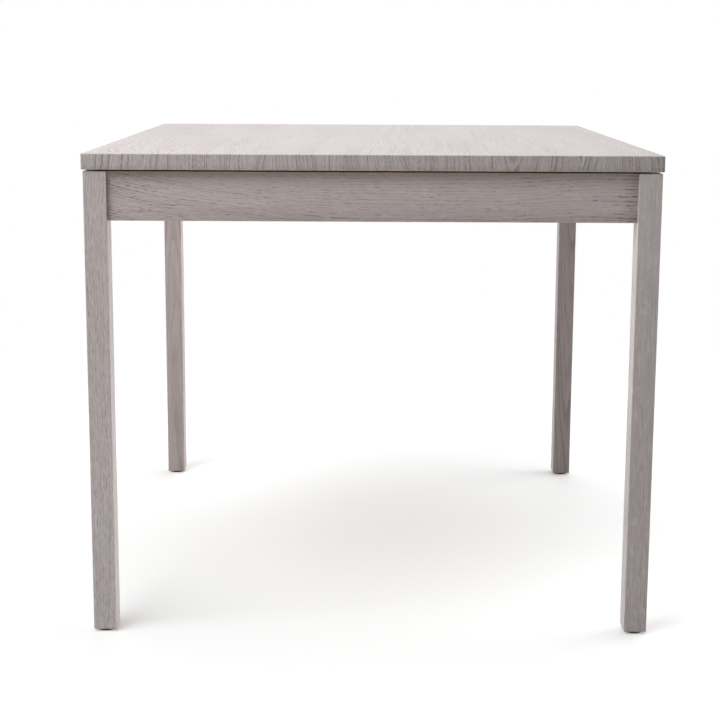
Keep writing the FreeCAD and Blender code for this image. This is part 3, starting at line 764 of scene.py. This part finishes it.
# plain, and how much clouds and rubs, or grain and scuffs, add
ZINC_ROUGHNESS = (0.22, 0.20, 0.14)
PLASTIC_ROUGHNESS = (0.42, 0.16, 0.12)
PLASTIC_COLOURS = ((0.036, 0.033, 0.032, 1.0), (0.10, 0.095, 0.09, 1.0))
MOULD_PACES = (1800.0, 1800.0, 1800.0)
MOULD_HEIGHT = 0.00002
SCUFF_PACES = (220.0, 220.0, 220.0)
SCUFF_LIMITS = (0.55, 0.70)
SCUFFED_BELOW = (0.0002, 0.0020)


def scaled(start, place, paces):
    """A place for noise that changes so many times a metre along X, Y and Z."""
    return start.place(*(part * pace for part, pace in zip(place, paces)))


def zinc():
    """Zinc plating: faint warm clouds and fine rubbing marks."""
    material, start = new_material("zinc_plated_steel")
    place = start.here().parts()
    clouds = scaled(start, place, ZINC_CLOUD_PACES).noise(3.0)
    rubs = scaled(start, place, RUB_PACES).noise(2.0)
    colour = clouds.rise(*ZINC_CLOUD_LIMITS).blend(*ZINC_COLOURS)
    plain, cloudy, rubbed = ZINC_ROUGHNESS
    roughness = plain + cloudy * clouds + rubbed * rubs
    shade(start, {"Base Color": colour, "Metallic": 1.0, "Roughness": roughness}, rubs * RUB_HEIGHT)
    return material


def dark_plastic():
    """Moulded plastic that is scuffed where it meets the floor."""
    material, start = new_material("dark_glide_plastic")
    place = start.here().parts()
    grain = scaled(start, place, MOULD_PACES).noise(2.0)
    scuffs = scaled(start, place, SCUFF_PACES).noise(4.0)
    worn = scuffs.rise(*SCUFF_LIMITS) * (1 - place[2].rise(*SCUFFED_BELOW))
    colour = worn.blend(*PLASTIC_COLOURS)
    plain, grainy, scuffed = PLASTIC_ROUGHNESS
    roughness = plain + grainy * grain + scuffed * worn
    shade(start, {"Base Color": colour, "Roughness": roughness}, grain * MOULD_HEIGHT)
    return material


ZINC = zinc()
GLIDE_PLASTIC = dark_plastic()
for corner in ("front_left", "front_right", "rear_right", "rear_left"):
    finish_with(NODES[f"foot_glide_{corner}"], GLIDE_PLASTIC)
print("zinc and plastic are ready")

# %% [markdown]
# ## Where the fasteners are
#
# The frame holds every kind of fastener as one group of plain turned pieces at their right places.
# Each group is split into its solids, and each solid's own points tell where it is and which way it
# points. A detailed fastener is then modelled once, standing on the origin, and copied to them.

# %% Find the places in a group
DIRECTIONS = (*AXES, TO_BACK_RIGHT, TO_BACK_LEFT)
SAME_POINT = 1e-6
SAME_LEVEL = 5e-5
RADIUS_DIGITS = 5


def solids_of(node):
    """The points of each separate solid in a group."""
    shape = bmesh.new()
    shape.from_mesh(NODES[node].data)
    bmesh.ops.remove_doubles(shape, verts=shape.verts, dist=SAME_POINT)
    shape.verts.index_update()
    solids = []
    found = set()
    for first in shape.verts:
        if first.index in found:
            continue
        found.add(first.index)
        front = [first]
        points = []
        while front:
            vertex = front.pop()
            points.append(vertex.co.copy())
            for other in (edge.other_vert(vertex) for edge in vertex.link_edges):
                if other.index not in found:
                    found.add(other.index)
                    front.append(other)
        solids.append(points)
    shape.free()
    return solids


def reach(points, direction):
    """How far some points reach along a direction."""
    low, high = extent(points, direction)
    return high - low


def place_of(points, is_long):
    """Where a fastener stands: Z runs from its wide end to its narrow one, and X to a corner."""
    pick = max if is_long else min
    axis = pick(DIRECTIONS, key=lambda way: reach(points, way))
    side = UP if axis != UP else RIGHT
    middle = Vector()
    for way in (axis, side, axis.cross(side)):
        middle += sum(extent(points, way)) / 2 * way

    def radius_at(level):
        near = [point for point in points if abs(axis.dot(point) - level) < SAME_LEVEL]
        return max((point - middle - axis * axis.dot(point - middle)).length for point in near)

    low, high = extent(points, axis)
    if radius_at(high) > radius_at(low) + SAME_LEVEL:
        axis, low = -axis, -high
    base = middle + axis * (low - axis.dot(middle))
    # the first of the corners that stand equally far out
    corner = max(points, key=lambda point: round((point - middle).cross(axis).length, RADIUS_DIGITS))
    out = corner - middle
    out = (out - axis * axis.dot(out)).normalized()
    turn = Matrix((out, axis.cross(out), axis)).transposed().to_4x4()
    return Matrix.Translation(base) @ turn


LONG_FASTENERS = (
    "hanger_bolts", "corner_block_screws", "fixing_strip_screws", "top_screws", "glide_screws",
    "apron_dowels",
)
FLAT_FASTENERS = ("bolt_washers", "bolt_nuts", "top_screw_washers")
PLACES = {}
for node in LONG_FASTENERS + FLAT_FASTENERS:
    PLACES[node] = [place_of(points, node in LONG_FASTENERS) for points in solids_of(node)]
    print(node, len(PLACES[node]), "first at", [round(part, 4) for part in PLACES[node][0].translation])

# %% [markdown]
# ## Making turned and threaded pieces
#
# Nearly all hardware is turned on a lathe or rolled, so two ways of modelling make all of it. A
# turned piece starts as a disc, and its face is extruded level by level and resized, as a profile.
# A thread starts as the outline of one turn, which a Screw modifier sweeps up the rod. The rod is
# then cut flat at both ends, which closes it.

# %% Turn a piece from a disc
def select_none():
    """Leaves edit mode and deselects everything."""
    if bpy.context.object and bpy.context.object.mode != "OBJECT":
        bpy.ops.object.mode_set(mode="OBJECT")
    bpy.ops.object.select_all(action="DESELECT")


def choose(piece, kind, wanted):
    """In edit mode, selects only the verts or edges whose middle is wanted."""
    bpy.ops.mesh.select_mode(type={"verts": "VERT", "edges": "EDGE"}[kind])
    bpy.ops.mesh.select_all(action="DESELECT")
    shape = bmesh.from_edit_mesh(piece.data)
    for part in getattr(shape, kind):
        corners = [part] if kind == "verts" else part.verts
        middle = sum((corner.co for corner in corners), Vector()) / len(corners)
        part.select_set(bool(wanted(middle)))
    shape.select_flush_mode()
    bmesh.update_edit_mesh(piece.data)


def tidy_surface(piece, sharp_above=35):
    """Points all faces outwards and smooths every edge up to this angle in degrees."""
    bpy.ops.object.mode_set(mode="EDIT")
    bpy.ops.mesh.select_all(action="SELECT")
    bpy.ops.mesh.normals_make_consistent(inside=False)
    bpy.ops.object.mode_set(mode="OBJECT")
    bpy.ops.object.shade_smooth_by_angle(angle=math.radians(sharp_above))


def started(name):
    """Names a new primitive, puts its place in its mesh and opens it for editing."""
    piece = bpy.context.object
    piece.name = name
    bpy.ops.object.transform_apply(location=True, rotation=True, scale=True)
    bpy.ops.object.mode_set(mode="EDIT")
    return piece


def extrude(move):
    """In edit mode, extrudes what is selected and moves it."""
    bpy.ops.mesh.extrude_region_move(TRANSFORM_OT_translate={"value": move})


def resize(share, level):
    """In edit mode, widens or narrows what is selected about the Z axis at this level."""
    bpy.ops.transform.resize(value=(share, share, 1), center_override=(0, 0, level))


def turned(name, levels, sides=32, turn=0.0):
    """A round solid on the Z axis, raised level by level. Each level is a height and a radius."""
    select_none()
    height, radius = levels[0]
    bpy.ops.mesh.primitive_circle_add(
        vertices=sides, radius=radius, fill_type="NGON", location=(0, 0, height), rotation=(0, 0, turn)
    )
    piece = started(name)
    bpy.ops.mesh.select_mode(type="FACE")
    bpy.ops.mesh.select_all(action="SELECT")
    for next_height, next_radius in levels[1:]:
        extrude((0, 0, next_height - height))
        resize(next_radius / radius, next_height)
        height, radius = next_height, next_radius
    tidy_surface(piece)
    return piece


def combined(piece, tool, operation):
    """Cuts a tool out of a piece, or keeps only what they share, and takes the tool away."""
    change = piece.modifiers.new(operation.lower(), "BOOLEAN")
    change.operation = operation
    change.solver = "EXACT"
    change.object = tool
    select_none()
    bpy.context.view_layer.objects.active = piece
    piece.select_set(True)
    bpy.ops.object.modifier_apply(modifier=change.name)
    bpy.data.objects.remove(tool)
    tidy_surface(piece)
    return piece


def joined(name, pieces):
    """Several pieces as one object."""
    select_none()
    for piece in pieces:
        piece.select_set(True)
    bpy.context.view_layer.objects.active = pieces[0]
    bpy.ops.object.join()
    pieces[0].name = name
    return pieces[0]


print("turning is ready")

# %% Roll a thread
MERGE_BELOW = 2e-6
SPARE_TURNS = 2
THREAD_SHARP_ABOVE = 50


def threaded(name, root, crest, pitch, start, end, sides=20):
    """A rod on the Z axis with a thread, cut flat at both ends. root and crest are its radii."""
    select_none()
    # a square on its corner loses its inner corner, and its outer one moves out to the crest
    half_pitch = pitch / 2
    bpy.ops.mesh.primitive_circle_add(
        vertices=4, radius=half_pitch, location=(root, 0, start - pitch), rotation=(math.pi / 2, 0, 0)
    )
    rod = started(name)
    choose(rod, "verts", lambda middle: middle.x < root - half_pitch / 2)
    bpy.ops.mesh.delete(type="VERT")
    choose(rod, "verts", lambda middle: middle.x > root + half_pitch / 2)
    bpy.ops.transform.translate(value=(crest - root - half_pitch, 0, 0))
    bpy.ops.object.mode_set(mode="OBJECT")
    sweep = rod.modifiers.new("sweep", "SCREW")
    sweep.screw_offset = pitch
    sweep.iterations = math.ceil((end - start) / pitch) + SPARE_TURNS
    sweep.steps = sweep.render_steps = sides
    bpy.ops.object.modifier_apply(modifier=sweep.name)
    bpy.ops.object.mode_set(mode="EDIT")
    bpy.ops.mesh.select_all(action="SELECT")
    bpy.ops.mesh.remove_doubles(threshold=MERGE_BELOW)
    bpy.ops.object.mode_set(mode="OBJECT")
    for level, side in ((start, {"clear_inner": True}), (end, {"clear_outer": True})):
        bpy.ops.object.mode_set(mode="EDIT")
        bpy.ops.mesh.select_all(action="SELECT")
        bpy.ops.mesh.bisect(plane_co=(0, 0, level), plane_no=(0, 0, 1), use_fill=True, **side)
        bpy.ops.object.mode_set(mode="OBJECT")
    tidy_surface(rod, sharp_above=THREAD_SHARP_ABOVE)
    return rod


def pointed(rod, start, end, thick, thin, steps=8):
    """Narrows one end of a rod from one radius to another, in steps that add up."""
    way = 1 if end > start else -1
    reached = thick
    bpy.ops.object.mode_set(mode="EDIT")
    for step in range(steps):
        level = start + (end - start) * step / steps
        wanted = thick + (thin - thick) * (step + 1) / steps
        choose(rod, "verts", lambda middle: (middle.z - level) * way > 0)
        resize(wanted / reached, level)
        reached = wanted
    bpy.ops.object.mode_set(mode="OBJECT")
    return rod


print("threading is ready")

# %% Copy a fastener to its places
def copied(name, pattern, places, material, turn_each=0.0):
    """Copies a pattern to each place, and joins and finishes the copies."""
    copies = []
    for number, place in enumerate(places):
        copy = pattern.copy()
        copy.data = pattern.data.copy()
        bpy.context.scene.collection.objects.link(copy)
        copy.data.transform(place @ Matrix.Rotation(number * turn_each, 4, "Z"))
        copies.append(copy)
    piece = joined(name, copies)
    finish_with(piece, material)
    return piece


def stand_for(node, piece):
    """Has a detailed piece stand for a group of the frame."""
    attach(piece, "root")
    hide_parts(node)
    print(piece.name, "has", len(PLACES[node]), "pieces and", len(piece.data.polygons), "faces")


def set_in_place(pattern, node, name, turn_each=0.0):
    """Puts steel copies of a pattern where a group of the frame has its fasteners."""
    stand_for(node, copied(name, pattern, PLACES[node], ZINC, turn_each))
    bpy.data.objects.remove(pattern)


print("placing is ready")

# %% [markdown]
# ## Fluted dowels
#
# A dowel is bought with grooves pressed into its side. Glue spreads along them, and the air in the
# hole gets out when the dowel is driven in. Its ends are bevelled, so that it finds the hole. The
# grain runs along each dowel, so those of the side aprons get their own cut of the beech.

# %% Model the dowels
FLUTES = 16
SIDES_PER_FLUTE = 3
FLUTE_SHARE = 0.93
FLUTE_SHARP_ABOVE = 25
DOWEL_BEVEL = 0.001
DOWEL_BEECH = dict(BEECH, wear=0.0)

dowel_points = solids_of("apron_dowels")[0]
dowel_size = sorted(reach(dowel_points, way) for way in AXES)
dowel_radius, dowel_length = dowel_size[0] / 2, dowel_size[2]
dowel_sides = FLUTES * SIDES_PER_FLUTE
dowel = turned("dowel", (
    (0.0, dowel_radius - DOWEL_BEVEL), (DOWEL_BEVEL, dowel_radius),
    (dowel_length - DOWEL_BEVEL, dowel_radius), (dowel_length, dowel_radius - DOWEL_BEVEL),
), sides=dowel_sides)
bpy.ops.object.mode_set(mode="EDIT")
choose(
    dowel, "verts",
    lambda middle: middle.xy.length > dowel_radius - DOWEL_BEVEL / 2
    and round(math.atan2(middle.y, middle.x) * dowel_sides / math.tau) % SIDES_PER_FLUTE == 0,
)
resize(FLUTE_SHARE, 0)
tidy_surface(dowel, sharp_above=FLUTE_SHARP_ABOVE)
fluted = []
for seed, way in ((41, RIGHT), (42, BACK)):
    places = [place for place in PLACES["apron_dowels"] if abs(place.col[2].xyz.dot(way)) > 0.5]
    directions = (way, UP, way.cross(UP))
    beech = wood("apron_dowels", directions, DOWEL_HEART, BEECH_SLANT, seed, DOWEL_BEECH)
    fluted.append(copied(f"dowels_{seed}", dowel, places, beech))
bpy.data.objects.remove(dowel)
stand_for("apron_dowels", joined("fluted_dowels", fluted))

# %% [markdown]
# ## Wood screws
#
# The screws have a flat domed head with a cross recess, and a coarse thread that ends in a point.
# The head is turned. The recess is cut by a tapered cross, which is drawn as a small square with
# four arms and then extruded. Real screws never stop at the same angle, so each copy is turned a
# little further than the one before.

# %% Model the wood screws
HEAD_RADIUS = 0.0045
# shares of the head's height and of its radius
HEAD_PROFILE = ((0.00, 0.52), (0.06, 0.72), (0.18, 0.87), (0.38, 0.97), (0.60, 1.00), (1.00, 1.00))
RECESS_WIDTH = 0.0009
RECESS_ARM = 0.0017
RECESS_DEPTH = 0.62
RECESS_TAPER = 0.55
STAND_OFF = 0.0005
SCREW_ROOT = 0.0016
SCREW_CREST = 0.00225
SCREW_PITCH = 0.0020
SCREW_SIDES = 14
SCREW_POINT = 0.0040
POINT_RADIUS = 0.0005
TURN_EACH = 2.4


def cross_cutter(depth):
    """A tapered cross that starts just outside the head and reaches into it."""
    select_none()
    bpy.ops.mesh.primitive_plane_add(size=RECESS_WIDTH, location=(0, 0, -STAND_OFF))
    cutter = started("cross")
    for way in (RIGHT, -RIGHT, BACK, -BACK):
        side = way * RECESS_WIDTH / 2
        choose(cutter, "edges", lambda middle: (middle - side).xy.length < MERGE_BELOW)
        extrude(way * RECESS_ARM)
    bpy.ops.mesh.select_mode(type="FACE")
    bpy.ops.mesh.select_all(action="SELECT")
    extrude((0, 0, depth + STAND_OFF))
    resize(RECESS_TAPER, depth)
    tidy_surface(cutter)
    return cutter


def wood_screw(length, head_height):
    """A screw whose head starts at the origin and whose point is the length away along Z."""
    levels = [(head_height * share, HEAD_RADIUS * part) for share, part in HEAD_PROFILE]
    cutter = cross_cutter(head_height * RECESS_DEPTH)
    head = combined(turned("head", levels), cutter, "DIFFERENCE")
    shank = threaded(
        "shank", SCREW_ROOT, SCREW_CREST, SCREW_PITCH, head_height, length, sides=SCREW_SIDES
    )
    shank = pointed(shank, length - SCREW_POINT, length, SCREW_CREST, POINT_RADIUS)
    return joined("screw", [head, shank])


SCREWS = {
    # what they are called here, and how high the head is
    "corner_block_screws": ("block_wood_screws", 0.0030),
    "fixing_strip_screws": ("strip_wood_screws", 0.0030),
    "top_screws": ("top_wood_screws", 0.0030),
    "glide_screws": ("glide_wood_screws", 0.0015),
}
for node, (name, head_height) in SCREWS.items():
    length = max(reach(solids_of(node)[0], way) for way in DIRECTIONS)
    set_in_place(wood_screw(length, head_height), node, name, TURN_EACH)

# %% [markdown]
# ## Hanger bolts, washers and nuts
#
# A hanger bolt has a coarse wood thread on the end that goes into the leg, and a fine metal thread
# on the other, with a short plain collar between them. The nut is a six-sided bar whose corners are
# cut back by a cone on both faces. That shape is what a hexagon and a turned double cone share.

# %% Model the bolts
BOLT_RADIUS = 0.0040
BOLT_LENGTH = 0.080
BOLT_IN_LEG = 0.030
THREAD_CREST = 0.00398
METAL_ROOT = 0.0033
METAL_PITCH = 0.00125
METAL_TIP = 0.0012
WOOD_ROOT = 0.0028
WOOD_PITCH = 0.0030
WOOD_POINT = 0.006
NARROW_RADIUS = 0.0032
COLLAR_HALF = 0.0020
COLLAR_EVEN_HALF = 0.0015
COLLAR_RADIUS = 0.00395
COLLAR_SHOULDER = 0.0036

middle = BOLT_LENGTH - BOLT_IN_LEG
metal_end, wood_start = middle - COLLAR_HALF, middle + COLLAR_HALF
metal_thread = threaded("metal_thread", METAL_ROOT, THREAD_CREST, METAL_PITCH, 0.0, metal_end)
pointed(metal_thread, METAL_TIP, 0.0, BOLT_RADIUS, NARROW_RADIUS, steps=3)
collar = turned("collar", (
    (metal_end, COLLAR_SHOULDER), (middle - COLLAR_EVEN_HALF, COLLAR_RADIUS),
    (middle + COLLAR_EVEN_HALF, COLLAR_RADIUS), (wood_start, NARROW_RADIUS),
))
wood_thread = threaded("wood_thread", WOOD_ROOT, THREAD_CREST, WOOD_PITCH, wood_start, BOLT_LENGTH)
pointed(wood_thread, BOLT_LENGTH - WOOD_POINT, BOLT_LENGTH, BOLT_RADIUS, POINT_RADIUS)
bolt = joined("bolt", [metal_thread, collar, wood_thread])
set_in_place(bolt, "hanger_bolts", "threaded_hanger_bolts")

# %% Model the washers and the nuts
ROUNDING = 0.0003
FIRST_STEP = 0.3
WASHERS = {
    # what they are called here, radius, radius of the hole, thickness
    "bolt_washers": ("rounded_bolt_washers", 0.0080, 0.0045, 0.0016),
    "top_screw_washers": ("rounded_screw_washers", 0.0080, 0.00275, 0.0015),
}
NUT_ACROSS_FLATS = 0.013
NUT_HEIGHT = 0.0065
NUT_BORE = 0.00402
NUT_FLARE = 0.0006
NUT_FACE_SHARE = 0.95
CONE_SHARE = 1.05
CONE_SLOPE = math.tan(math.radians(30))


def bored(piece, radius, height, flare):
    """Drills a hole through a piece and breaks the edges of the hole."""
    drill = turned("drill", (
        (-flare, radius + 2 * flare), (flare, radius), (height - flare, radius),
        (height + flare, radius + 2 * flare),
    ))
    return combined(piece, drill, "DIFFERENCE")


def washer(radius, bore, thickness):
    """A washer with rounded edges, lying on the origin."""
    first = ROUNDING * FIRST_STEP
    blank = turned("washer", (
        (0.0, radius - ROUNDING), (first, radius - first), (ROUNDING, radius),
        (thickness - ROUNDING, radius), (thickness - first, radius - first),
        (thickness, radius - ROUNDING),
    ), sides=40)
    return bored(blank, bore, thickness, ROUNDING / 3)


def nut():
    """A nut that lies on the origin: what a hexagon and a double cone share, with a hole."""
    corner_radius = NUT_ACROSS_FLATS / math.sqrt(3)
    face_radius = NUT_ACROSS_FLATS / 2 * NUT_FACE_SHARE
    outside = corner_radius * CONE_SHARE
    cone = (outside - face_radius) * CONE_SLOPE
    levels = ((0.0, corner_radius), (NUT_HEIGHT, corner_radius))
    hexagon = turned("nut", levels, sides=6, turn=math.pi / 6)
    cones = turned("cones", (
        (0.0, face_radius), (cone, outside), (NUT_HEIGHT - cone, outside), (NUT_HEIGHT, face_radius),
    ), sides=48)
    return bored(combined(hexagon, cones, "INTERSECT"), NUT_BORE, NUT_HEIGHT, NUT_FLARE)


for node, (name, *sizes) in WASHERS.items():
    set_in_place(washer(*sizes), node, name)
set_in_place(nut(), "bolt_nuts", "chamfered_nuts")
